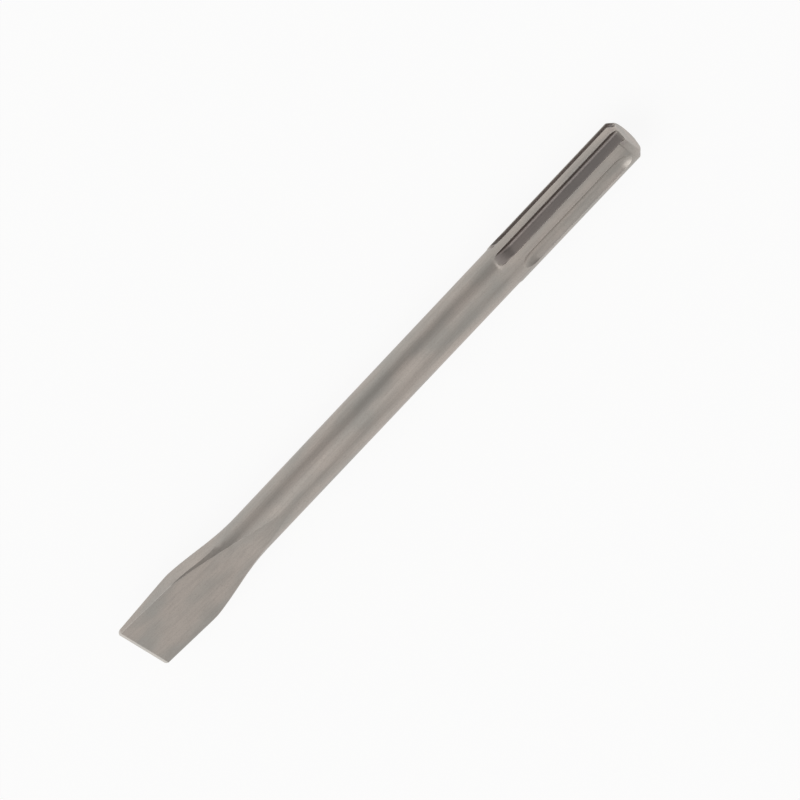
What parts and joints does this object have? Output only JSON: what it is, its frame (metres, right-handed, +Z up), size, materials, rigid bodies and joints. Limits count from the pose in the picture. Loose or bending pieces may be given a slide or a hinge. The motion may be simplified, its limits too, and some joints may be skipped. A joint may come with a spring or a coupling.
{
  "type": "sds flat chisel",
  "caption": "Flat chisel for a rotary hammer: a round steel bar forged at one end into a wide wedge blade, with driving and locking grooves on its shank.",
  "frame": {"origin": "centre of the struck end face of the shank, on the axis of the round bar", "axes": "+X along the bar's axis, out of the struck end, so that the cutting edge is at -X; +Z up, as the chisel lies on a floor on its shank and on one edge of its blade, which is why the blade's flat is rolled about X"},
  "size_m": [0.28, 0.0258, 0.018],
  "materials": {
    "tool_steel": "satin ground and blasted tool steel, warm grey"
  },
  "bodies": {
    "root": {"chisel": "tool_steel"}
  },
  "joints": []
}
